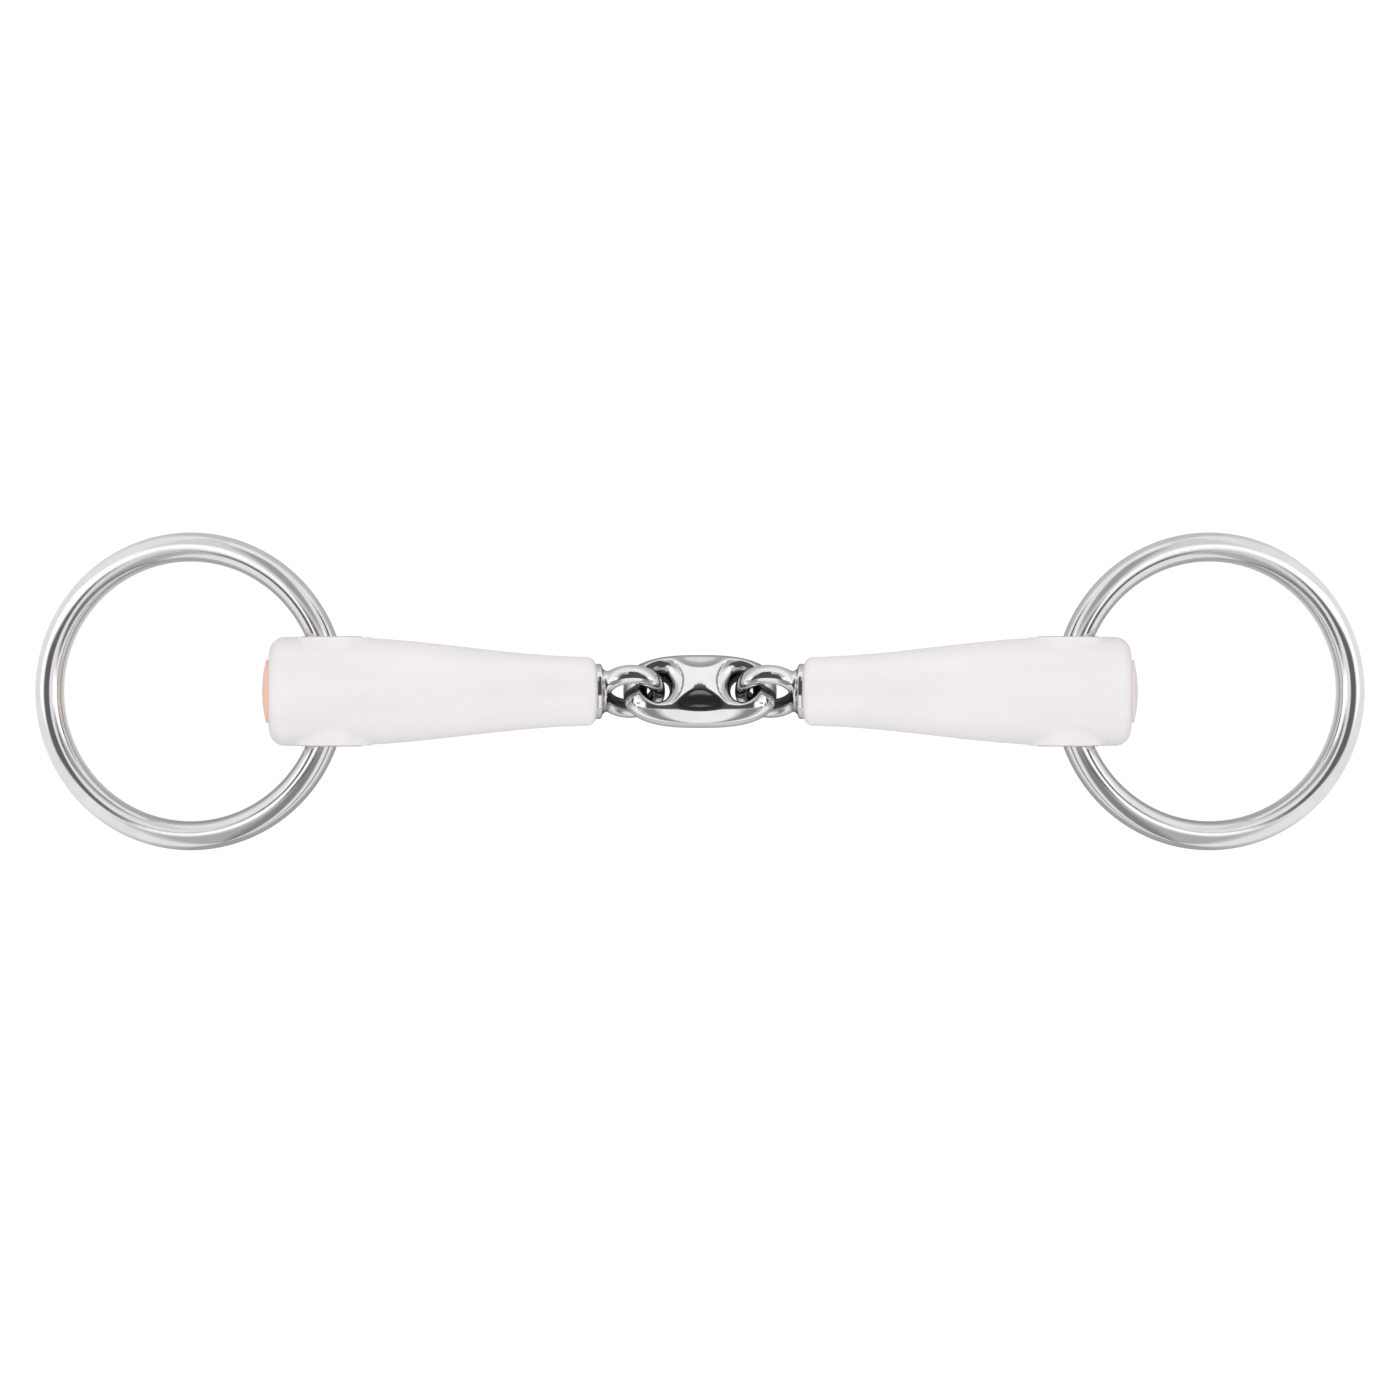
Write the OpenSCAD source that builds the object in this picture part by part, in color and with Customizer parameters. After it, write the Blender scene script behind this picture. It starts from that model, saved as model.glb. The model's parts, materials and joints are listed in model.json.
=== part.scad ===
// Double-jointed loose-ring snaffle bit, lying flat.
// X runs along the mouthpiece, Z points up, and the origin is on the resting plane under the link.

/* [Mouthpiece] */
// Width between the two rings, which is the size a bit is sold by
mouthpiece_w = 135.2; // [125:0.1:145]
// How far each arm rises from the link to its ring, in degrees
arm_rise = 4; // [3:0.1:5]

/* [Rings] */
// Outside diameter of a ring
ring_outer = 61; // [56:0.5:66]
// Thickness of the ring's wire
ring_wire = 5.6; // [5:0.1:5.8]

/* [Centre link] */
// Length of the link
link_l = 29.46; // [28.5:0.02:30]
// Width of the link across its face
link_w = 15.6; // [14:0.1:16]
// Thickness of the link at its middle
link_t = 9.6; // [8:0.1:10]
// Distance between the centres of the link's two eyes
link_eye_gap = 15.38; // [15:0.02:16]
// How far the link's face leans over, in degrees
link_lean = 35; // [30:1:40]

/* [Arm eyes] */
// Radius of the hole in every eye
eye_hole_r = 3.8; // [3.7:0.05:3.9]
// Distance from the middle of the bit to the centre of an arm's eye
eye_x = 13.3; // [13.1:0.05:13.6]
// Width of the metal around an arm's eye
eye_band = 2.8; // [2.4:0.1:3]
// Thickness of an arm's eye
eye_t = 3.8; // [3.4:0.1:4]
// How far an arm's eye leans over, the other way from the link, in degrees
eye_lean = 51; // [45:1:55]

/* [Arm cores] */
// Radius of the flange that the cover ends against
flange_r = 5.3; // [4.8:0.1:5.6]
// Thickness of that flange
flange_t = 1.1; // [0.8:0.1:1.4]
// Radius of the shank inside the cover
shank_r = 4; // [3:0.1:4.5]
// Radius of the boss around the ring hole
boss_r = 8.4; // [8:0.1:8.8]

/* [Covers] */
// Distance from the middle of the bit to the start of a cover
cover_x = 20; // [19.8:0.1:20.4]
// Radius of a cover at its inner end
cover_small_r = 6.6; // [6.2:0.1:7]
// Radius of a cover at its outer end
cover_big_r = 10.4; // [10:0.1:11]
// Length over which a cover swells from small to big
cover_swell = 50; // [45:1:52]
// Distance from the ring hole's centre to the cover's outer corner
cover_past_hole = 12.2; // [11.5:0.1:13]

/* [Ring holes] */
// Radius of the narrowest part of a ring hole
throat_r = 3.2; // [3.1:0.05:3.3]
// Outside radius of the bush that lines a ring hole
bush_r = 6; // [5.9:0.05:6.2]
// Length of the bush
bush_l = 21; // [20.8:0.1:21.2]

/* [Hidden] */
$fn = 72;

steel = [0.78, 0.78, 0.8];
white_plastic = [0.93, 0.91, 0.91];
peach_plastic = [1, 0.79, 0.7];

running_gap = 0.05;      // radial clearance of the bush in the core
far = 40;                // longer than anything that a cut has to pass through

wire_r = ring_wire / 2;
ring_r = (ring_outer - ring_wire) / 2;
hole_x = (mouthpiece_w + ring_wire) / 2;

// An arm folds about the middle of its own eye's inner bar, square to the link's face.
fold_x = eye_x - eye_hole_r - eye_band / 2;

// Distances along an arm, counted from its fold axis
function along(x) = (x - fold_x) / cos(arm_rise);
eye_d = along(eye_x);
cover_d = along(cover_x);
hole_d = along(hole_x);
cover_end_d = hole_d + cover_past_hole;

// The cover's side: an S-curve from the small radius to the big one
function smooth(t) = t * t * (3 - 2 * t);
function cover_r(d) = cover_small_r
    + (cover_big_r - cover_small_r) * smooth(min(1, max(0, (d - cover_d) / cover_swell)));
side_steps = 20;
cover_corner_in = 1.6;   // rounding of the inner end
cover_corner_out = 2.4;  // rounding of the outer end
cover_dome = 0.5;        // how far the outer end bulges
corner_steps = 6;
side_from = cover_d + cover_corner_in;
side_to = cover_end_d - cover_corner_out;
side_d = [for (i = [0:side_steps]) side_from + (side_to - side_from) * i / side_steps];

// The covers rest on the plane, which sets the height of the fold axis.
link_z = max([for (d = side_d) cover_r(d) * cos(arm_rise) - d * sin(arm_rise)]);
hole_z = link_z + hole_d * sin(arm_rise);
// The far side of each ring rests on the plane too.
ring_dip = asin((hole_z - wire_r) / (2 * ring_r));

bore_r = bush_r + running_gap;

collar_r = 7.6;          // the cover's flat-ended collar around each mouth of the ring hole
collar_set = 0.05;       // how far the collar's ends lie inside the cover's own width
lip_round = 0.3;         // rounding of the bush's ends
plug_r = 6;
plug_depth = 2;          // how far the end plug goes into the cover
plug_rim = 0.15;         // how far its rim stands out of the cover's end
plug_dome = 0.6;         // how far its middle stands out of the cover's end
dome_steps = 5;

// A superellipse with half axes a and b
function power(v, n) = sign(v) * pow(abs(v), n);
function superellipse(a, b, n, steps) = [
    for (i = [0:steps - 1])
        let (q = 360 * (i + 0.5) / steps)
        [a * power(cos(q), 2 / n), b * power(sin(q), 2 / n)]
];

// A quarter of a circle about (cx, cy), from angle a0 to angle a1
function corner(cx, cy, r, a0, a1) = [
    for (i = [0:corner_steps])
        let (q = a0 + (a1 - a0) * i / corner_steps)
        [cx + r * cos(q), cy + r * sin(q)]
];

module rounded_rect(w, h, r) {
    square([w - 2 * r, h], center = true);
    square([w, h - 2 * r], center = true);
    for (x = [-1, 1], y = [-1, 1])
        translate([x * (w / 2 - r), y * (h / 2 - r)])
            circle(r);
}

// Turns a solid made about Z so that it is about the arm's length
module about_arm() {
    rotate([0, 90, 0])
        children();
}

// Turns a solid made about Z so that it is about the ring hole's axis, at the hole
module about_hole() {
    translate([hole_d, 0, 0])
        rotate([-90, 0, 0])
            children();
}

// Puts an arm's piece, made along +X from the fold axis, on the right or the left of the bit
module place_arm(side) {
    mirror([side < 0 ? 1 : 0, 0, 0])
        translate([fold_x, 0, link_z])
            rotate([0, -arm_rise, 0])
                children();
}

// ---- Centre link ----

module centre_link() {
    face_power = 2.6;    // how square the face's outline is
    side_power = 1.6;    // the same for the thickness along the link, which comes to a soft point
    section_power = 2;   // the same for the section across the link
    steps = 52;
    eye_round = 6;       // rounding of an eye's edges
    scoop_r = 3.2;
    scoop_u = 5.4;
    scoop_w = 6.6;
    color(steel)
        translate([0, 0, link_z])
            rotate([-link_lean, 0, 0])
                difference() {
                    intersection() {
                        // Outline of the face
                        linear_extrude(height = link_t, center = true)
                            polygon(superellipse(link_l / 2, link_w / 2, face_power, steps));
                        // Thickness along the link
                        rotate([90, 0, 0])
                            linear_extrude(height = link_w, center = true)
                                polygon(superellipse(link_l / 2, link_t / 2, side_power, steps));
                        // Section across the link
                        rotate([90, 0, 90])
                            linear_extrude(height = link_l, center = true)
                                polygon(superellipse(link_w / 2, link_t / 2, section_power, steps));
                    }
                    // The two eyes, with rounded edges
                    for (side = [-1, 1])
                        translate([side * link_eye_gap / 2, 0, 0])
                            rotate_extrude()
                                difference() {
                                    translate([0, -eye_round])
                                        square([eye_hole_r + eye_round, 2 * eye_round]);
                                    translate([eye_hole_r + eye_round, 0])
                                        circle(eye_round);
                                }
                    // A hollow on each side of the waist, on both faces
                    for (u = [-1, 1], w = [-1, 1])
                        translate([0, u * scoop_u, w * scoop_w])
                            rotate([0, 90, 0])
                                cylinder(r = scoop_r, h = link_eye_gap + 2, center = true);
                }
}

// ---- Arm cores ----

// The shank, the flange and the neck, turned about the arm
module core_shank() {
    flange_from = cover_d - flange_t;
    neck_in = 0.6;       // how far the neck starts inside the eye's band
    neck_r = 3.4;
    neck_flare_r = 4.9;
    overlap = 0.2;       // how far each turned length runs into the next
    neck_from = eye_d + eye_hole_r + neck_in;
    about_arm() {
        translate([0, 0, neck_from])
            cylinder(r1 = neck_r, r2 = neck_flare_r, h = flange_from - neck_from + overlap);
        translate([0, 0, flange_from])
            cylinder(r = flange_r, h = flange_t);
        translate([0, 0, cover_d - overlap])
            cylinder(r = shank_r, h = hole_d - cover_d);
    }
}

// The boss around the ring hole, kept inside the cover
module core_boss() {
    cover_wall = 1.5;
    intersection() {
        about_hole()
            cylinder(r = boss_r, h = far, center = true);
        translate([hole_d, 0, 0])
            about_arm()
                cylinder(r = cover_big_r - cover_wall, h = far, center = true);
    }
}

module core_eye() {
    eye_corner = 1.1;
    translate([eye_d, 0, 0])
        rotate([eye_lean, 0, 0])
            rotate_extrude()
                translate([eye_hole_r + eye_band / 2, 0])
                    rounded_rect(eye_band, eye_t, eye_corner);
}

module ring_bore() {
    about_hole()
        cylinder(r = bore_r, h = far, center = true);
}

module arm_core(side) {
    color(steel)
        place_arm(side)
            difference() {
                union() {
                    core_eye();
                    core_shank();
                    core_boss();
                }
                ring_bore();
            }
}

// ---- Covers ----

module cover_body() {
    face_in = cover_d;
    r_in = cover_r(side_from);
    r_out = cover_r(side_to);
    flat_r = r_out - cover_corner_out;
    outline = concat(
        [[0, face_in]],
        corner(r_in - cover_corner_in, face_in + cover_corner_in, cover_corner_in, -90, 0),
        [for (i = [1:side_steps - 1]) [cover_r(side_d[i]), side_d[i]]],
        corner(r_out - cover_corner_out, side_to, cover_corner_out, 0, 90),
        [for (i = [dome_steps - 1:-1:0])
            let (f = i / dome_steps)
            [flat_r * f, cover_end_d + cover_dome * (1 - f * f)]]
    );
    about_arm()
        rotate_extrude()
            polygon(outline);
}

module plug_body() {
    flat_r = cover_r(side_to) - cover_corner_out;
    outer_d = cover_end_d + cover_dome;
    rim_d = outer_d - cover_dome * pow(plug_r / flat_r, 2) + plug_rim;
    tip_d = outer_d + plug_dome;
    outline = concat(
        [[0, outer_d - plug_depth], [plug_r, outer_d - plug_depth]],
        [for (i = [dome_steps:-1:0])
            let (f = i / dome_steps)
            [plug_r * f, tip_d - (tip_d - rim_d) * f * f]]
    );
    about_arm()
        rotate_extrude()
            polygon(outline);
}

module cover_collar() {
    about_hole()
        cylinder(r = collar_r, h = 2 * (cover_big_r - collar_set), center = true);
}

module arm_cover(side) {
    color(white_plastic)
        place_arm(side)
            difference() {
                union() {
                    cover_body();
                    cover_collar();
                }
                core_shank();
                core_boss();
                plug_body();
                ring_bore();
            }
}

module end_plug(side, shade) {
    color(shade)
        place_arm(side)
            plug_body();
}

// ---- Ring bushes and rings ----

// The bore follows the ring's own curve, so that the ring can run through at any swing.
module ring_bush(side) {
    color(steel)
        place_arm(side)
            about_hole()
                rotate_extrude()
                    intersection() {
                        rounded_rect(2 * bush_r, bush_l, lip_round);
                        translate([throat_r + ring_r, 0])
                            circle(ring_r, $fn = 180);
                    }
}

module ring(side) {
    color(steel)
        mirror([side < 0 ? 1 : 0, 0, 0])
            translate([hole_x, 0, hole_z])
                rotate([0, ring_dip, 0])
                    translate([ring_r, 0, 0])
                        rotate_extrude($fn = 120)
                            translate([ring_r, 0])
                                circle(wire_r, $fn = 40);
}

centre_link();
arm_core(-1);  // left_arm_core
arm_cover(-1);  // left_arm_cover
end_plug(-1, peach_plastic);  // left_end_plug
ring_bush(-1);  // left_ring_bush
ring(-1);  // left_ring
arm_core(1);  // right_arm_core
arm_cover(1);  // right_arm_cover
end_plug(1, white_plastic);  // right_end_plug
ring_bush(1);  // right_ring_bush
ring(1);  // right_ring
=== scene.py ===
"""Looks of the loose-ring snaffle bit: polished steel link, eyes, bushes and rings, and white moulded covers.

Shapes are built in millimetres in the frame of the link or of the right arm, and the left arm is a mirror
image. Solids with fillets are written as distance fields, which surface() turns into quads.
"""
import json
import math

import bpy
import numpy as np
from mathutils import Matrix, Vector


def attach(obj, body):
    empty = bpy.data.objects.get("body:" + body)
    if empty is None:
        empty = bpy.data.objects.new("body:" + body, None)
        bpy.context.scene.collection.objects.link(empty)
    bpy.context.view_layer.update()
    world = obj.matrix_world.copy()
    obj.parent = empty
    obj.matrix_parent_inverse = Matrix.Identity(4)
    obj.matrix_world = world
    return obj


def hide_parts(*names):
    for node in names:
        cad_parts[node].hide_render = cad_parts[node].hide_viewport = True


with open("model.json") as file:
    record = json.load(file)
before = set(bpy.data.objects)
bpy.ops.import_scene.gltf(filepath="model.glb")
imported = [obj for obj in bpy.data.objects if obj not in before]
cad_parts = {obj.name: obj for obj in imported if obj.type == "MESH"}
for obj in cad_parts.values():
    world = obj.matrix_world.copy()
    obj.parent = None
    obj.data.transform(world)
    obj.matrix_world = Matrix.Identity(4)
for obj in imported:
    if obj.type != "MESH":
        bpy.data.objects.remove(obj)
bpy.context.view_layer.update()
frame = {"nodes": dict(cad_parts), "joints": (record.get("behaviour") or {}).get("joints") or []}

MM = 0.001
JOINTS = {joint["name"]: joint for joint in frame["joints"]}
FOLD = np.array(JOINTS["right_arm_fold"]["pos_m"]) / MM
HOLE = np.array(JOINTS["right_ring_swing"]["pos_m"]) / MM
RING_CENTRE = np.array(JOINTS["right_ring_spin"]["pos_m"]) / MM
LINK_NORMAL = np.array(JOINTS["right_arm_fold"]["axis"], float)
RING_NORMAL = np.array(JOINTS["right_ring_spin"]["axis"], float)

# Sizes in millimetres
EYE_HOLE_R = 3.8
EYE_BAND = 2.8
EYE_THICK = 3.8
EYE_LEAN = math.radians(51)
EYE_D = EYE_HOLE_R + EYE_BAND / 2       # from the fold axis to the middle of an arm's eye
FLANGE_R = 5.3
FLANGE_T = 1.1
SHANK_R = 4.0
BOSS_R = 8.4
COVER_SMALL_R = 6.6
COVER_SWELL = 50.0
COVER_WALL = 1.5
COVER_DOME = 0.5                        # how far the cover's end drops at COVER_DOME_R from the arm's axis
COVER_DOME_R = 8.0
BUSH_R = 6.0
BORE_R = 6.05
THROAT_R = 3.2
COLLAR_R = 7.6
COLLAR_Y = 10.35
PLUG_R = 6.0
PLUG_STANDS = 0.6                       # the plug's crown past the crown of the CAD cover's end
WIRE_R = 2.8
RING_R = float(np.linalg.norm(RING_CENTRE - HOLE))
LINK_HALF_L = 14.73
LINK_HALF_W = 7.8
LINK_EYE_X = 8.0
LINK_WAIST_X = 2.15                     # half sizes of the link's eye at its narrowest
LINK_WAIST_U = 3.2
SCOOP_R = 3.0
SCOOP_U = 5.35                          # the scoop's axis: across the face, and above it
SCOOP_W = 6.0
SCOOP_BEND_U = 15.0                     # the axis moves off by the square of x over this
SCOOP_BEND_W = 60.0
TURN_STEPS = 96


# ---- Frames ----

def arm_axes():
    """Columns: along the right arm, across it, and up from it."""
    along = HOLE - FOLD
    along /= np.linalg.norm(along)
    across = np.array([0.0, 1.0, 0.0])
    return np.stack([along, across, np.cross(along, across)], axis=1)


def link_axes():
    """Columns: along the link, across its face, and square to its face."""
    along = np.array([1.0, 0.0, 0.0])
    return np.stack([along, np.cross(LINK_NORMAL, along), LINK_NORMAL], axis=1)


def ring_axes():
    """Columns: from the hole to the ring's centre, across, and the ring's own axis."""
    outward = (RING_CENTRE - HOLE) / RING_R
    return np.stack([outward, np.cross(RING_NORMAL, outward), RING_NORMAL], axis=1)


ARM = (arm_axes(), FOLD)
LINK = (link_axes(), np.array([0.0, 0.0, FOLD[2]]))
RING = (ring_axes(), RING_CENTRE)
HOLE_D = float(np.linalg.norm(HOLE - FOLD))


def arm_extent(node):
    """Lowest and highest corner of a right arm's CAD node, in the arm's frame."""
    points = np.array([v.co for v in frame["nodes"][node].data.vertices]) / MM
    local = (points - FOLD) @ ARM[0]
    return local.min(axis=0), local.max(axis=0)


COVER_LOW, COVER_HIGH = arm_extent("right_arm_cover")
PLUG_LOW, PLUG_HIGH = arm_extent("right_end_plug")
BUSH_HALF_L = arm_extent("right_ring_bush")[1][1]
COVER_D = COVER_LOW[0]
COVER_BIG_R = COVER_HIGH[1]


# ---- Distance fields ----

def smooth_max(a, b, k):
    """Intersection with a fillet of about size k."""
    h = np.clip(0.5 + 0.5 * (a - b) / k, 0, 1)
    return b + (a - b) * h + k * h * (1 - h)


def smooth_min(a, b, k):
    """Union with a fillet of about size k."""
    return -smooth_max(-a, -b, k)


def round_max(a, b, r):
    """Intersection with a round edge of radius r."""
    outside = np.sqrt(np.maximum(a + r, 0) ** 2 + np.maximum(b + r, 0) ** 2)
    return np.minimum(np.maximum(a, b), -r) + outside


def smoothstep(low, high, v):
    t = np.clip((v - low) / (high - low), 0, 1)
    return t * t * (3 - 2 * t)


def surface(field, low, high, step):
    """Surface nets: quads on the field's zero level, relaxed and pulled onto it, with vertex normals."""
    low = np.array(low, float)
    count = np.ceil((np.array(high, float) - low) / step).astype(int) + 1
    axes = [low[a] + step * np.arange(count[a]) for a in range(3)]
    values = field(*np.meshgrid(*axes, indexing="ij"))
    inside = values < 0
    corners = [(i, j, k) for i in (0, 1) for j in (0, 1) for k in (0, 1)]
    cells = count - 1
    total = np.zeros(cells, np.uint8)
    for i, j, k in corners:
        total += inside[i:cells[0] + i, j:cells[1] + j, k:cells[2] + k]
    active = (total > 0) & (total < 8)
    where = np.argwhere(active)
    index = np.full(cells, -1)
    index[active] = np.arange(len(where))

    place = np.zeros((len(where), 3))
    hits = np.zeros(len(where))
    for axis in range(3):
        ahead = np.eye(3, dtype=int)[axis]
        for corner in corners:
            if corner[axis]:
                continue
            start = where + corner
            a = values[tuple(start.T)]
            b = values[tuple((start + ahead).T)]
            crosses = (a < 0) != (b < 0)
            t = np.where(crosses, a / np.where(a == b, 1, a - b), 0)
            place += crosses[:, None] * (np.array(corner) + t[:, None] * ahead)
            hits += crosses
    verts = low + step * (where + place / hits[:, None])

    quads = []
    for axis in range(3):
        one, two = (axis + 1) % 3, (axis + 2) % 3
        span = [slice(1, None)] * 3
        span[axis] = slice(None, -1)
        ahead = [slice(1, None)] * 3
        change = inside[tuple(span)] != inside[tuple(ahead)]
        points = np.argwhere(change)
        points[:, one] += 1
        points[:, two] += 1
        points = points[(points[:, one] < cells[one]) & (points[:, two] < cells[two])]
        step_one = np.eye(3, dtype=int)[one]
        step_two = np.eye(3, dtype=int)[two]
        loop = [points, points - step_one, points - step_one - step_two, points - step_two]
        quad = np.stack([index[tuple(p.T)] for p in loop], axis=1)
        leaving = inside[tuple(points.T)]
        quad[~leaving] = quad[~leaving][:, ::-1]
        quads.append(quad)
    quads = np.concatenate(quads)

    verts = pull(field, verts, step)
    for _ in range(3):
        verts = 0.5 * verts + 0.5 * neighbour_mean(verts, quads)
        verts = pull(field, verts, step)
    return verts, quads, gradient(field, verts)


def gradient(field, points):
    """Unit gradient of the field at the points."""
    reach = 0.02
    slopes = []
    for axis in range(3):
        shift = np.eye(3)[axis] * reach
        slopes.append(field(*(points + shift).T) - field(*(points - shift).T))
    g = np.stack(slopes, axis=1)
    return g / np.maximum(np.linalg.norm(g, axis=1, keepdims=True), 1e-9)


def pull(field, points, step):
    """Moves points onto the field's zero level."""
    reach = 0.05
    for _ in range(4):
        g = gradient(field, points)
        value = field(*points.T)
        slope = (field(*(points + g * reach).T) - value) / reach
        move = value / np.maximum(slope, 0.2)
        points = points - g * np.clip(move, -step / 2, step / 2)[:, None]
    return points


def neighbour_mean(verts, quads):
    """The mean of each vertex's neighbours along the quads' edges."""
    total = np.zeros_like(verts)
    hits = np.zeros(len(verts))
    for i in range(4):
        a, b = quads[:, i], quads[:, (i + 1) % 4]
        for here, there in ((a, b), (b, a)):
            for axis in range(3):
                total[:, axis] += np.bincount(here, verts[there, axis], len(verts))
            hits += np.bincount(here, minlength=len(verts))
    return total / hits[:, None]


# ---- Turned shapes ----

def arc(cx, cy, r, start, stop, steps):
    """Points on a circle, with angles in degrees."""
    turn = np.radians(np.linspace(start, stop, steps))
    return np.stack([cx + r * np.cos(turn), cy + r * np.sin(turn)], axis=1)


def lathe(profile, segments):
    """Turns a closed loop of (radius, height) about the third axis. A point with radius 0 becomes a pole."""
    profile = np.array(profile)
    turn = 2 * np.pi * np.arange(segments) / segments
    verts, rows = [], []
    for r, z in profile:
        if r < 1e-6:
            rows.append([len(verts)] * segments)
            verts.append((0, 0, z))
        else:
            rows.append(list(range(len(verts), len(verts) + segments)))
            verts.extend(zip(r * np.cos(turn), r * np.sin(turn), [z] * segments))
    faces = []
    open_ends = profile[0, 0] < 1e-6 and profile[-1, 0] < 1e-6
    for i in range(len(rows) - open_ends):
        near, far = rows[i], rows[(i + 1) % len(rows)]
        for j in range(segments):
            k = (j + 1) % segments
            ring = [near[j], near[k], far[k], far[j]]
            faces.append(list(dict.fromkeys(ring)))
    return np.array(verts, float), faces


# ---- Objects ----

def put(name, shape, place, body, replaced, material, side=1):
    """Makes a piece from a shape in a local frame, mirrored for the left side, parents it to its body and
    hides the CAD node it replaces.

    A shape is its vertices and faces, followed by its normals where they are known.
    """
    verts, faces = shape[0], shape[1]
    axes, origin = place
    world = (verts @ axes.T + origin) * MM
    normals = shape[2] @ axes.T if len(shape) == 3 else None
    faces = faces.tolist() if isinstance(faces, np.ndarray) else faces
    if side < 0:
        world = world * (-1, 1, 1)
        faces = [face[::-1] for face in faces]
    mesh = bpy.data.meshes.new(name)
    mesh.from_pydata(world.tolist(), [], faces)
    mesh.shade_smooth()
    if normals is not None:
        normals = normals * (side, 1, 1)
        mesh.normals_split_custom_set_from_vertices(normals.tolist())
    mesh.materials.append(material)
    piece = bpy.data.objects.new(name, mesh)
    bpy.context.scene.collection.objects.link(piece)
    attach(piece, body)
    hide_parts(replaced)
    return piece


# ---- Centre link ----

def link_field(x, u, w):
    """A barrel with an oval outline, a saddle-shaped face each side, two hourglass eyes and four scoops."""
    corner, half_t, least_slope = 2.7, 5.0, 0.08
    ax, au = np.abs(x) / LINK_HALF_L, np.abs(u) / LINK_HALF_W
    flat = np.maximum(ax ** corner + au ** corner, 1e-9) ** (1 / corner)
    level = flat ** 2 + (w / half_t) ** 2
    grow = 2 * flat ** (2 - corner)
    slope = np.sqrt((grow * ax ** (corner - 1) / LINK_HALF_L) ** 2
                    + (grow * au ** (corner - 1) / LINK_HALF_W) ** 2
                    + (2 * w / half_t ** 2) ** 2)
    barrel = (level - 1) / np.maximum(slope, least_slope)

    face_blend, scoop_blend, eye_blend = 0.5, 0.35, 0.5
    lobe_h, crest_h, crest_l = 3.2, 4.7, 4.2
    face_h = lobe_h + (crest_h - lobe_h) * np.exp(-(x / crest_l) ** 2)
    solid = smooth_max(barrel, np.abs(w) - face_h, face_blend)

    inward = np.minimum(np.abs(u) - (SCOOP_U + x ** 2 / SCOOP_BEND_U), 0)
    below = np.minimum(np.abs(w) - (SCOOP_W + x ** 2 / SCOOP_BEND_W), 0)
    scoop = np.sqrt(inward ** 2 + below ** 2) - SCOOP_R
    solid = smooth_max(solid, -scoop, scoop_blend)

    edge = 3.4                          # radius of the eye's rounded edge, seen across the link
    within = np.minimum(np.abs(w), 0.97 * edge)
    grown = edge - np.sqrt(edge ** 2 - within ** 2)
    half_x, half_u = LINK_WAIST_X + grown, LINK_WAIST_U + grown
    away = np.sqrt(((np.abs(x) - LINK_EYE_X) / half_x) ** 2 + (u / half_u) ** 2)
    eye = (1 - away) * np.minimum(half_x, half_u)
    return smooth_max(solid, eye, eye_blend)


# ---- Arm core ----

def boss_field(across, rho):
    """The core's boss round the ring hole, from the distances to the hole's axis and to the arm's."""
    return np.maximum(across - BOSS_R, rho - (COVER_BIG_R - COVER_WALL))


def core_field(d, y, h):
    """The eye, the flared neck and flange, the shank, and the boss with the ring hole through it."""
    power = 2.4                         # 2 makes the bar's section an oval, and more makes it squarer
    lean_y = y * math.cos(EYE_LEAN) + h * math.sin(EYE_LEAN)
    lean_h = -y * math.sin(EYE_LEAN) + h * math.cos(EYE_LEAN)
    across_band = (np.sqrt((d - EYE_D) ** 2 + lean_y ** 2) - EYE_HOLE_R - EYE_BAND / 2) / (EYE_BAND / 2)
    through = lean_h / (EYE_THICK / 2)
    section = (np.abs(across_band) ** power + np.abs(through) ** power + 1e-9) ** (1 / power)
    eye = (section - 1) * EYE_BAND / 2

    rho = np.sqrt(y ** 2 + h ** 2)
    flange_from = COVER_D - FLANGE_T
    neck_from = EYE_D + EYE_HOLE_R + 1.0
    neck_r, neck_slope, neck_blend = 3.9, 0.45, 1.2
    flange_edge, flange_blend = 0.35, 0.9
    neck = (rho - neck_r - neck_slope * (d - neck_from)) / math.hypot(1, neck_slope)
    neck = np.maximum(np.maximum(neck, neck_from - d), d - COVER_D)
    solid = smooth_min(eye, neck, neck_blend)
    flange = round_max(rho - FLANGE_R, np.abs(d - COVER_D + FLANGE_T / 2) - FLANGE_T / 2, flange_edge)
    solid = smooth_min(solid, flange, flange_blend)
    shank = np.maximum(np.maximum(rho - SHANK_R, flange_from - d), d - HOLE_D)
    solid = np.minimum(solid, shank)
    across = np.sqrt((d - HOLE_D) ** 2 + h ** 2)
    solid = np.minimum(solid, boss_field(across, rho))
    return np.maximum(solid, BORE_R - across)


# ---- Arm cover ----

def cover_radius(d):
    return COVER_SMALL_R + (COVER_BIG_R - COVER_SMALL_R) * smoothstep(COVER_D, COVER_D + COVER_SWELL, d)


def cover_field(d, y, h):
    """A swelling bar with soft ends and a collar round each mouth of its ring hole, less the core's space."""
    corner_in, corner_out = 1.7, 2.6
    collar_edge, collar_blend, mouth_edge = 0.45, 0.35, 0.25
    side_cosine = 0.997                 # of the side's mean slope
    rho = np.sqrt(y ** 2 + h ** 2)
    side = (rho - cover_radius(d)) * side_cosine
    end = COVER_HIGH[0] - COVER_DOME * (rho / COVER_DOME_R) ** 2
    solid = round_max(side, COVER_D - d, corner_in)
    solid = round_max(solid, d - end, corner_out)

    across = np.sqrt((d - HOLE_D) ** 2 + h ** 2)
    collar = round_max(across - COLLAR_R, np.abs(y) - COLLAR_Y, collar_edge)
    solid = smooth_min(solid, collar, collar_blend)
    solid = round_max(solid, BORE_R - across, mouth_edge)

    shank = np.maximum(rho - SHANK_R, d - HOLE_D)
    plug = np.maximum(rho - PLUG_R, PLUG_LOW[0] - d)
    return np.maximum(solid, -np.minimum(np.minimum(shank, boss_field(across, rho)), plug))


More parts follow.
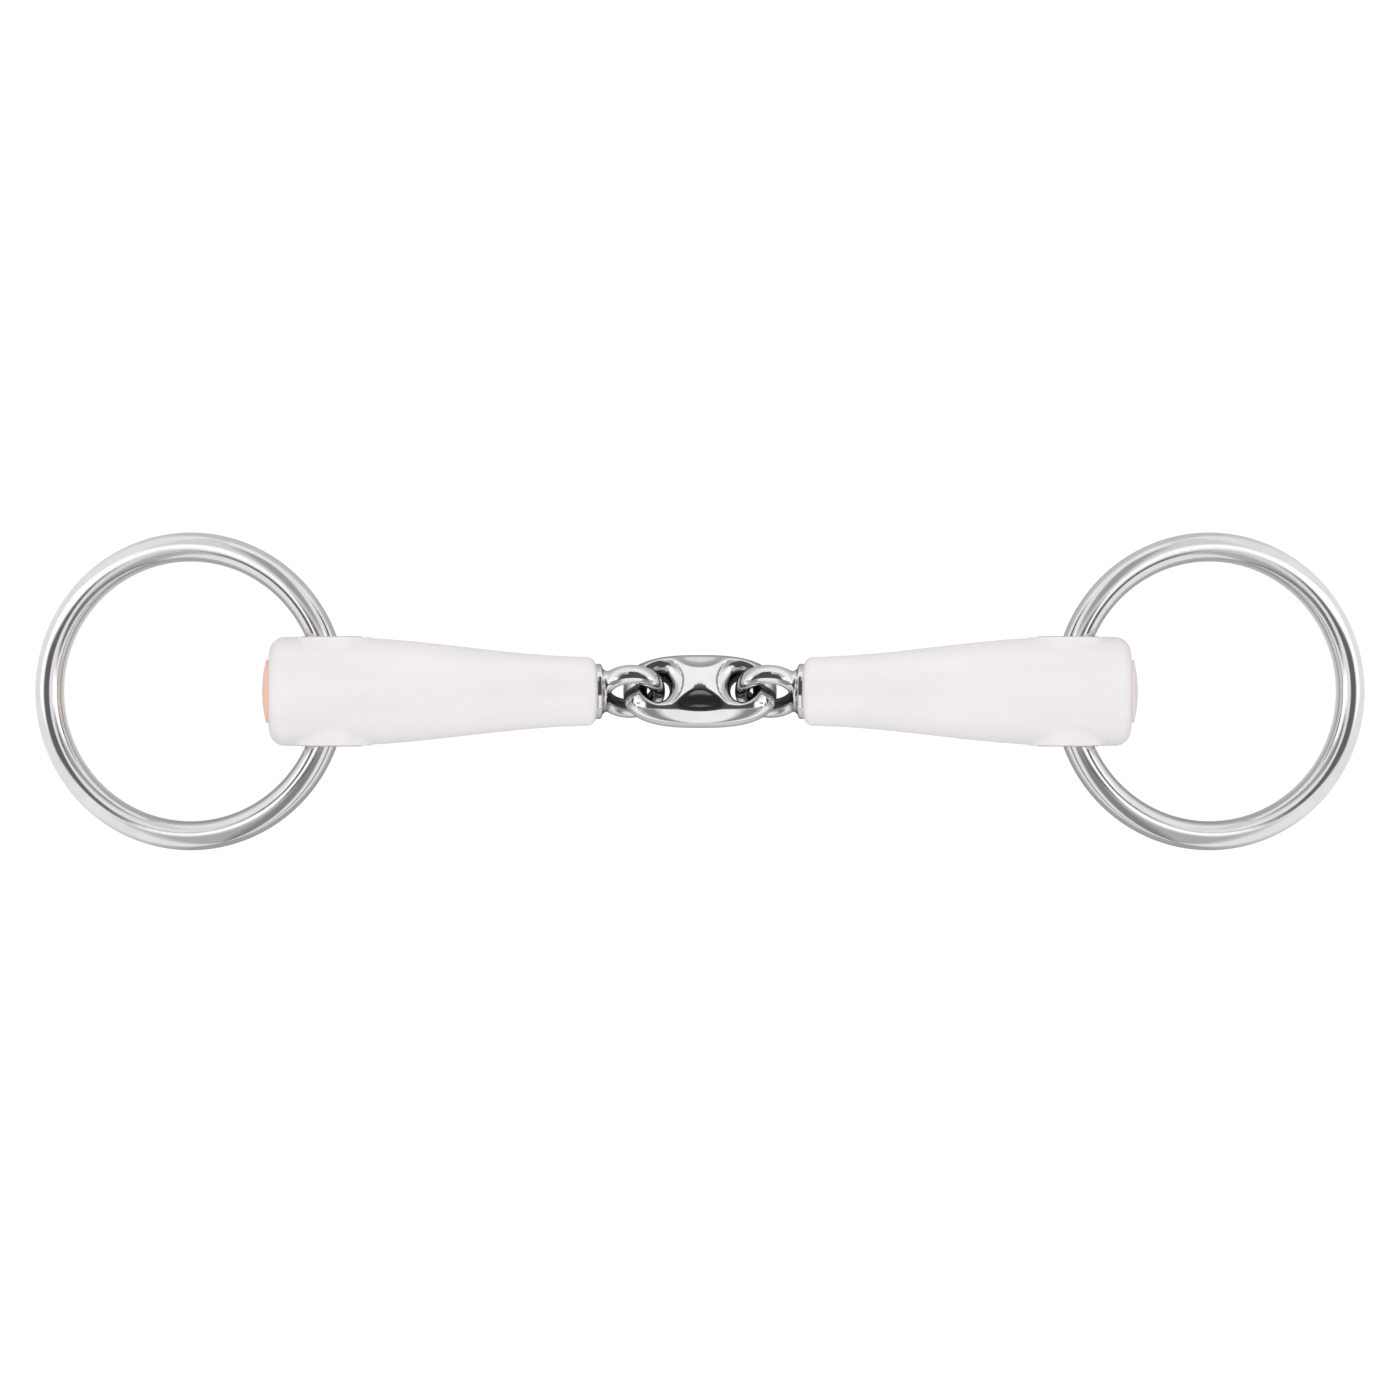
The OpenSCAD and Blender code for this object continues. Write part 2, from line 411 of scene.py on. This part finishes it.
def plug_shape():
    """A low dome, turned about the arm, with a finely rounded rim."""
    edge, bevel, rim_stands = 0.3, 0.2, 0.15
    bottom, top = PLUG_LOW[0], PLUG_HIGH[0]
    rim = top - PLUG_STANDS - COVER_DOME * (PLUG_R / COVER_DOME_R) ** 2 + rim_stands
    face = [(r, top - (top - rim) * (r / PLUG_R) ** 2) for r in np.linspace(0, PLUG_R - edge, 16)]
    corner = arc(PLUG_R - edge, face[-1][1] - edge, edge, 80, 0, 7)
    loop = face + corner.tolist() + [(PLUG_R, bottom + bevel), (PLUG_R - bevel, bottom), (0, bottom)]
    verts, faces = lathe(loop[::-1], TURN_STEPS)
    return verts[:, [2, 0, 1]], faces


# ---- Ring bush and ring ----

def bush_shape():
    """A sleeve whose bore follows the ring's curve, with rounded lips."""
    lip, bore_inset = 0.3, 0.2
    heights = np.linspace(-BUSH_HALF_L + bore_inset, BUSH_HALF_L - bore_inset, 41)
    bore = [(THROAT_R + RING_R - math.sqrt(RING_R ** 2 - y * y), y) for y in heights]
    top = arc(BUSH_R - lip, BUSH_HALF_L - lip, lip, 100, 0, 8)
    low = top[::-1] * (1, -1)
    verts, faces = lathe(bore + top.tolist() + low.tolist(), TURN_STEPS)
    return np.stack([HOLE_D + verts[:, 0], verts[:, 2], -verts[:, 1]], axis=1), [f[::-1] for f in faces]


def ring_shape():
    """Round wire bent to a circle."""
    turns, around = 288, 48
    big = 2 * np.pi * np.arange(turns) / turns
    small = 2 * np.pi * np.arange(around) / around
    big, small = np.meshgrid(big, small, indexing="ij")
    reach = RING_R + WIRE_R * np.cos(small)
    verts = np.stack([reach * np.cos(big), reach * np.sin(big), WIRE_R * np.sin(small)], axis=-1)
    normals = np.stack([np.cos(small) * np.cos(big), np.cos(small) * np.sin(big), np.sin(small)], axis=-1)
    i, j = np.meshgrid(np.arange(turns), np.arange(around), indexing="ij")
    far, up = (i + 1) % turns, (j + 1) % around
    faces = np.stack([i * around + j, far * around + j, far * around + up, i * around + up], axis=-1)
    return verts.reshape(-1, 3), faces.reshape(-1, 4), normals.reshape(-1, 3)


# ---- Materials ----

class Nodes:
    """A short way to write a node tree."""

    def __init__(self, tree):
        self.tree = tree

    def add(self, kind, settings=None, **inputs):
        node = self.tree.nodes.new(kind)
        for key, value in (settings or {}).items():
            setattr(node, key, value)
        for key, value in inputs.items():
            self.feed(node.inputs[key.replace("_", " ")], value)
        return node

    def feed(self, socket, value):
        if isinstance(value, bpy.types.NodeSocket):
            self.tree.links.new(value, socket)
        else:
            socket.default_value = value

    def math(self, operation, *values):
        node = self.add("ShaderNodeMath", {"operation": operation})
        for socket, value in zip(node.inputs, values):
            self.feed(socket, value)
        return node.outputs[0]

    def split(self, vector):
        return self.add("ShaderNodeSeparateXYZ", Vector=vector).outputs

    def length(self, one, two):
        squares = self.math("ADD", self.math("MULTIPLY", one, one), self.math("MULTIPLY", two, two))
        return self.math("SQRT", squares)

    def spread(self, value, low, high, start=0.3, stop=0.7):
        """Goes from low to high as the value goes from start to stop, which by default suit a noise."""
        node = self.add("ShaderNodeMapRange", Value=value)
        for key, number in (("From Min", start), ("From Max", stop), ("To Min", low), ("To Max", high)):
            node.inputs[key].default_value = number
        return node.outputs["Result"]

    def blend(self, factor, one, two):
        node = self.add("ShaderNodeMix", {"data_type": "RGBA"})
        self.feed(node.inputs[0], factor)
        self.feed(node.inputs[6], one)
        self.feed(node.inputs[7], two)
        return node.outputs[2]

    def bump(self, height, strength, distance, under=None):
        node = self.add("ShaderNodeBump", Height=height, Strength=strength, Distance=distance)
        if under is not None:
            self.feed(node.inputs["Normal"], under)
        return node.outputs["Normal"]


class MaterialNodes(Nodes):
    """The nodes of a new material, with its shader and its object coordinates at hand."""

    def __init__(self, name):
        self.material = bpy.data.materials.new(name)
        self.material.use_nodes = True
        super().__init__(self.material.node_tree)
        self.shader = self.tree.nodes["Principled BSDF"]
        self.place = self.add("ShaderNodeTexCoord").outputs["Object"]

    def noise(self, scale, detail, roughness, stretch=(1, 1, 1)):
        where = self.add("ShaderNodeMapping", Vector=self.place, Scale=stretch).outputs["Vector"]
        return self.add("ShaderNodeTexNoise", Vector=where, Scale=scale, Detail=detail,
                        Roughness=roughness).outputs["Fac"]


def link_hollow_shade(n):
    """Painted shade in the link's scoops and eyes, from 0 to 1: how far a spot lies in a scoop or an eye. The
    rear scoops get less painted shade.
    """
    front_scoop_shade, rear_scoop_shade, eye_shade = 1.0, 0.25, 0.85
    lean = math.atan2(LINK_NORMAL[1], LINK_NORMAL[2])
    height = FOLD[2] * MM
    turned = n.add("ShaderNodeMapping", Vector=n.place, Rotation=(lean, 0, 0),
                   Location=(0, height * math.sin(lean), -height * math.cos(lean))).outputs["Vector"]
    x, u, w = n.split(turned)
    square = n.math("MULTIPLY", x, x)
    axis_u = n.math("MULTIPLY_ADD", square, 1 / (SCOOP_BEND_U * MM), SCOOP_U * MM)
    axis_w = n.math("MULTIPLY_ADD", square, 1 / (SCOOP_BEND_W * MM), SCOOP_W * MM)
    inward = n.math("SUBTRACT", n.math("ABSOLUTE", u), axis_u)
    below = n.math("SUBTRACT", n.math("ABSOLUTE", w), axis_w)
    off_axis = n.length(n.math("MINIMUM", inward, 0.0), n.math("MINIMUM", below, 0.0))
    in_scoop = n.spread(off_axis, 1.0, 0.0, (SCOOP_R + 0.05) * MM, (SCOOP_R + 0.4) * MM)
    # painted shade in the scoops, stronger in the front ones than in the rear ones
    scoop = n.math("MULTIPLY", in_scoop, n.spread(u, front_scoop_shade, rear_scoop_shade, -1 * MM, 1 * MM))
    off_eye = n.math("SUBTRACT", n.math("ABSOLUTE", x), LINK_EYE_X * MM)
    eye = n.length(n.math("DIVIDE", off_eye, LINK_WAIST_X * MM), n.math("DIVIDE", u, LINK_WAIST_U * MM))
    # painted shade in the eyes as well
    return n.math("MAXIMUM", scoop, n.spread(eye, eye_shade, 0.0, 1.05, 1.5))


def eye_hollow_shade(n):
    """Painted shade inside the arm's eye, from 0 to 1: how far a spot of an arm's steel lies inside the eye.
    """
    # the strength of the painted shade, and the arm's rise
    depth, rise = 0.8, ARM[0][2, 0]
    x, y, z = n.split(n.place)
    along = n.math("SUBTRACT", n.math("ABSOLUTE", x), FOLD[0] * MM)
    lift = n.math("SUBTRACT", n.math("SUBTRACT", z, FOLD[2] * MM), n.math("MULTIPLY", along, rise))
    from_y = n.math("MULTIPLY", y, math.cos(EYE_LEAN))
    from_lift = n.math("MULTIPLY", lift, math.sin(EYE_LEAN))
    radius = n.length(n.math("SUBTRACT", along, EYE_D * MM), n.math("ADD", from_y, from_lift))
    return n.spread(radius, depth, 0.0, (EYE_HOLE_R + 0.1) * MM, (EYE_HOLE_R + 0.9) * MM)


def steel_tone(value):
    """A grey with a trace less green."""
    return (value, value - 0.01, value, 1)


def polished_steel(name, bright, dull, rough, waviness, hollow=None):
    """Mirror-polished steel with faint unevenness and buffing marks, with painted shade (a darker colour) and
    a duller polish in its hollows.
    """
    # the dark grey of the painted shade in the hollows, and the roughness added there
    painted_shade_tone, hollow_rough = 0.20, 0.12
    n = MaterialNodes(name)
    n.shader.inputs["Metallic"].default_value = 1.0
    patches = n.noise(160, 4, 0.6)
    colour = n.blend(n.spread(patches, 0, 1), steel_tone(bright), steel_tone(dull))
    buffing = n.noise(1400, 3, 0.7)
    roughness = n.spread(buffing, rough * 0.75, rough * 1.4)
    if hollow is not None:
        depth = hollow(n)
        # painted shade: the colour goes darker in the hollows
        colour = n.blend(depth, colour, steel_tone(painted_shade_tone))
        roughness = n.math("MULTIPLY_ADD", depth, hollow_rough, roughness)
    n.feed(n.shader.inputs["Base Color"], colour)
    n.feed(n.shader.inputs["Roughness"], roughness)
    waves = n.bump(n.noise(90, 2, 0.5), waviness, 0.0006)
    marks = n.bump(buffing, 0.02, 0.00002, waves)
    n.feed(n.shader.inputs["Normal"], marks)
    return n.material


def moulded_plastic(name, colour, shade, rough=0.36):
    """Smooth slightly translucent moulded plastic with a faint flow pattern and a fine matt grain."""
    n = MaterialNodes(name)
    flow = n.noise(55, 3, 0.55, (1, 2.2, 2.2))
    n.feed(n.shader.inputs["Base Color"], n.blend(n.spread(flow, 0, 1), colour, shade))
    n.shader.inputs["Subsurface Weight"].default_value = 0.12
    n.shader.inputs["Subsurface Radius"].default_value = (1.0, 0.8, 0.7)
    n.shader.inputs["Subsurface Scale"].default_value = 0.002
    n.shader.inputs["IOR"].default_value = 1.5
    n.shader.inputs["Sheen Weight"].default_value = 0.2
    n.shader.inputs["Sheen Roughness"].default_value = 0.4
    n.shader.inputs["Coat Weight"].default_value = 0.15
    n.shader.inputs["Coat Roughness"].default_value = 0.18
    grain = n.noise(1800, 2, 0.6)
    n.feed(n.shader.inputs["Roughness"], n.spread(grain, rough * 0.9, rough * 1.15))
    swell = n.bump(flow, 0.05, 0.0003)
    n.feed(n.shader.inputs["Normal"], n.bump(grain, 0.04, 0.00004, swell))
    return n.material


LINK_STEEL = polished_steel("link_steel", 0.90, 0.80, 0.085, 0.10, link_hollow_shade)
CORE_STEEL = polished_steel("core_steel", 0.88, 0.76, 0.10, 0.10, eye_hollow_shade)
BUSH_STEEL = polished_steel("bush_steel", 0.80, 0.68, 0.14, 0.05)
RING_STEEL = polished_steel("ring_steel", 0.81, 0.74, 0.105, 0.05)
COVER_PLASTIC = moulded_plastic("cover_plastic", (0.87, 0.845, 0.85, 1), (0.83, 0.805, 0.81, 1))
PEACH_PLASTIC = moulded_plastic("left_plug_plastic", (0.97, 0.62, 0.47, 1), (0.94, 0.57, 0.42, 1), 0.45)
PALE_PLASTIC = moulded_plastic("right_plug_plastic", (0.86, 0.77, 0.74, 1), (0.83, 0.73, 0.70, 1), 0.45)


# ---- Pieces ----

def build_pieces():
    """The link once, and an arm's pieces each side. A field's box is at least 0.5 mm clear of its solid."""
    link_step, core_step, cover_step = 0.25, 0.3, 0.4
    link = surface(link_field, (-15.5, -8.5, -5.5), (15.5, 8.5, 5.5), link_step)
    put("link_casting", link, LINK, "centre_link", "centre_link", LINK_STEEL)
    core = surface(core_field, (-2.5, -9.5, -9.5), (HOLE_D + BOSS_R + 1, 9.5, 9.5), core_step)
    cover_low = (COVER_LOW[0] - 1, -COVER_BIG_R - 1, -COVER_BIG_R - 1)
    cover_high = (COVER_HIGH[0] + 1, COVER_BIG_R + 1, COVER_BIG_R + 1)
    cover = surface(cover_field, cover_low, cover_high, cover_step)
    plug, bush, ring = plug_shape(), bush_shape(), ring_shape()
    for name, side, plug_plastic in (("left", -1, PEACH_PLASTIC), ("right", 1, PALE_PLASTIC)):
        arm = name + "_arm"
        put(name + "_steel_core", core, ARM, arm, arm + "_core", CORE_STEEL, side)
        put(name + "_moulded_cover", cover, ARM, arm, arm + "_cover", COVER_PLASTIC, side)
        put(name + "_plug", plug, ARM, arm, name + "_end_plug", plug_plastic, side)
        holder, loop = name + "_bush", name + "_ring"
        put(name + "_hole_bush", bush, ARM, holder, loop + "_bush", BUSH_STEEL, side)
        put(name + "_loose_ring", ring, RING, loop, loop, RING_STEEL, side)


# ---- Stage ----

def plane(name, low, high, level, up="z"):
    """A flat rectangle at a level on the z axis and square to it, or on the y axis when up is "y"."""
    corners = [(low[0], low[1]), (high[0], low[1]), (high[0], high[1]), (low[0], high[1])]
    verts = [(a, b, level) if up == "z" else (a, level, b) for a, b in corners]
    mesh = bpy.data.meshes.new(name)
    mesh.from_pydata(verts, [], [(0, 1, 2, 3)])
    return staged(name, mesh)


def staged(name, mesh):
    """Puts a mesh in the scene, not attached to any body of the bit."""
    thing = bpy.data.objects.new(name, mesh)
    bpy.context.scene.collection.objects.link(thing)
    return thing


def glow(n, strength, cover=1.0):
    """Turns a material into plain light of a given strength, see-through where cover is below 1."""
    n.feed(n.shader.inputs["Alpha"], cover)
    n.shader.inputs["Base Color"].default_value = (0, 0, 0, 1)
    n.shader.inputs["Specular IOR Level"].default_value = 0.0
    n.shader.inputs["Emission Color"].default_value = (1, 1, 1, 1)
    n.feed(n.shader.inputs["Emission Strength"], strength)
    return n.material


def only_in_reflections(thing):
    thing.visible_camera = False
    thing.visible_diffuse = False
    thing.visible_transmission = False
    thing.visible_shadow = False


def build_backdrop():
    """A dome that only the camera sees: pure white below the bit, and light grey all round it."""
    radius, white, grey = 4.0, 1.05, 0.62
    loop = [(radius * math.cos(t), radius * math.sin(t)) for t in np.linspace(-np.pi / 2, np.pi / 2, 33)]
    loop[0], loop[-1] = (0, -radius), (0, radius)
    verts, faces = lathe(loop, 48)
    mesh = bpy.data.meshes.new("backdrop")
    mesh.from_pydata(verts.tolist(), [], faces)
    mesh.shade_smooth()
    dome = staged("backdrop", mesh)
    dome.visible_diffuse = False
    dome.visible_glossy = False
    dome.visible_transmission = False
    dome.visible_shadow = False
    n = MaterialNodes("backdrop_white")
    height = n.split(n.place)["Z"]
    mesh.materials.append(glow(n, n.spread(height, white, grey, -3.6, -1.2)))


def build_table():
    """What polished metal mirrors from below: a pale table, darker in the shade of the bit."""
    front_tone, middle_tone, rear_tone, outer_tone = 0.44, 0.40, 0.67, 0.95
    front_light, link_shade = 0.24, 0.33
    table = plane("table", (-2, -2), (2, 2), -0.001)
    only_in_reflections(table)
    n = MaterialNodes("table_shade")
    x, y, _ = n.split(n.place)
    x, y_off = n.math("ABSOLUTE", x), n.math("ABSOLUTE", y)
    under_front = n.spread(y, front_tone, middle_tone, -0.045, -0.02)
    under = n.math("ADD", under_front, n.spread(y, 0.0, rear_tone - middle_tone, 0.0, 0.045))
    outside = n.spread(x, 0.0, 1.0, 0.100, 0.128)
    shade = n.math("ADD", n.math("MULTIPLY", under, n.math("SUBTRACT", 1.0, outside)),
                   n.math("MULTIPLY", outside, outer_tone))
    along_front = n.spread(y, front_light, 0.0, -0.03, -0.008)
    front = n.math("MULTIPLY", along_front, n.spread(x, 1.0, 0.0, 0.02, 0.06))
    along_link = n.spread(x, 1.0, 0.0, 0.014, 0.03)
    near_link = n.math("MULTIPLY", along_link, n.spread(y_off, 1.0, 0.0, 0.005, 0.014))
    shade = n.math("SUBTRACT", n.math("ADD", shade, front), n.math("MULTIPLY", near_link, link_shade))
    table.data.materials.append(glow(n, shade))


def hang_card(name, low, high, level, strength, soft, up="z"):
    """A card seen only in reflections, which fades in over a width of soft inside its edges."""
    card = plane(name, low, high, level, up)
    only_in_reflections(card)
    n = MaterialNodes(name + "_tone")
    parts = n.split(n.place)
    cover = 1.0
    for side, start, stop in zip((parts["X"], parts["Y" if up == "z" else "Z"]), low, high):
        cover = n.math("MULTIPLY", cover, n.spread(side, 0.0, 1.0, start, start + soft))
        cover = n.math("MULTIPLY", cover, n.spread(side, 1.0, 0.0, stop - soft, stop))
    card.data.materials.append(glow(n, strength, cover))


def build_cards():
    """Painted reflections: glowing cards and dark flags round the bit, seen only in reflections and casting
    no shade, placed as a studio hangs them to draw lines in polished metal.
    """
    # the glow of the dark flags, painted dark reflections over the link
    dark = 0.075
    hang_card("link_flag", (-0.040, -0.012), (0.040, 0.036), 0.045, dark, 0.003)
    hang_card("waist_flag", (-0.022, 0.030), (0.022, 0.078), 0.044, dark, 0.003)
    right = {"front_card": ((0.03, -3.0), (0.17, -0.016), 0.09, 0.52, 0.03),
             "rear_card": ((0.03, 0.045), (0.17, 3.0), 0.09, 0.80, 0.03),
             "front_shade": ((0.03, -3.0), (0.105, -0.010), 0.085, 0.28, 0.02),
             "rear_shade": ((0.03, 0.018), (0.105, 3.0), 0.085, 0.42, 0.02)}
    for name, (low, high, level, strength, soft) in right.items():
        hang_card("left_" + name, (-high[0], low[1]), (-low[0], high[1]), level, strength, soft)
        hang_card("right_" + name, low, high, level, strength, soft)
    hang_card("back_card", (-0.10, 0.01), (0.10, 0.09), 0.15, 1.0, 0.01, up="y")


def build_ring_flag():
    """A painted reflection: a dark soft-edged flag over both rings, seen only in reflections, narrow at its
    necks, which draws the dark line in their sides.
    """
    neck_x, line_y, dark = 0.116, -0.003, 0.14
    flag = plane("ring_flag", (-0.25, -0.035), (0.25, 0.035), 0.066)
    only_in_reflections(flag)
    n = MaterialNodes("ring_flag_tone")
    x, y, _ = n.split(n.place)
    x = n.math("ABSOLUTE", x)
    off_neck = n.math("ABSOLUTE", n.math("SUBTRACT", x, neck_x))
    half_width = n.spread(off_neck, -0.005, 0.021, 0.003, 0.016)
    off_line = n.math("ABSOLUTE", n.math("SUBTRACT", y, line_y))
    cover = n.spread(n.math("SUBTRACT", off_line, half_width), 1.0, 0.0, -0.004, 0.005)
    past_neck = n.spread(x, 0.0, 1.0, 0.112, 0.120)
    notch = n.math("MAXIMUM", past_neck, n.spread(off_line, 0.0, 1.0, 0.006, 0.012))
    cover = n.math("MULTIPLY", cover, notch)
    cover = n.math("MULTIPLY", cover, n.spread(x, 0.0, 1.0, 0.070, 0.085))
    cover = n.math("MULTIPLY", cover, n.spread(x, 1.0, 0.0, 0.170, 0.195))
    flag.data.materials.append(glow(n, dark, cover))


def build_world():
    """Even white light, a little dimmer from below."""
    from_below, from_above = 0.72, 0.97
    world = bpy.data.worlds.new("studio")
    bpy.context.scene.world = world
    world.use_nodes = True
    n = Nodes(world.node_tree)
    direction = n.add("ShaderNodeTexCoord").outputs["Generated"]
    light = n.spread(n.split(direction)["Z"], from_below, from_above, -0.6, 0.0)
    background = n.tree.nodes["Background"]
    n.feed(background.inputs["Strength"], light)
    background.inputs["Color"].default_value = (1, 0.99, 1, 1)


def build_lights():
    """Two wide soft boxes, one each side."""
    for name, x in (("left_soft_box", -0.9), ("right_soft_box", 0.9)):
        lamp = bpy.data.lights.new(name, "AREA")
        lamp.shape = "RECTANGLE"
        lamp.size = 0.7
        lamp.size_y = 1.2
        lamp.energy = 1.0
        box = bpy.data.objects.new(name, lamp)
        box.location = (x, 0.2, 0.8)
        box.rotation_euler = box.location.to_track_quat("Z", "Y").to_euler()
        bpy.context.scene.collection.objects.link(box)


def build_camera():
    """Straight down on the bit with a long lens."""
    field_w, distance = 0.2677, 1.1     # the width seen at the ring holes, and the height above them
    aim_y = -0.00165                    # the middle of the view is a little in front of the bit's
    aim = Vector((0, aim_y, HOLE[2] * MM))
    camera = bpy.data.cameras.new("camera")
    camera.sensor_width = 36
    camera.lens = camera.sensor_width * distance / field_w
    camera.clip_end = 20
    eye = bpy.data.objects.new("camera", camera)
    eye.location = aim + Vector((0, 0, distance))
    bpy.context.scene.collection.objects.link(eye)
    bpy.context.scene.camera = eye


build_pieces()
build_backdrop()
build_table()
build_cards()
build_ring_flag()
build_world()
build_lights()
build_camera()
bpy.context.scene.view_settings.view_transform = "Standard"
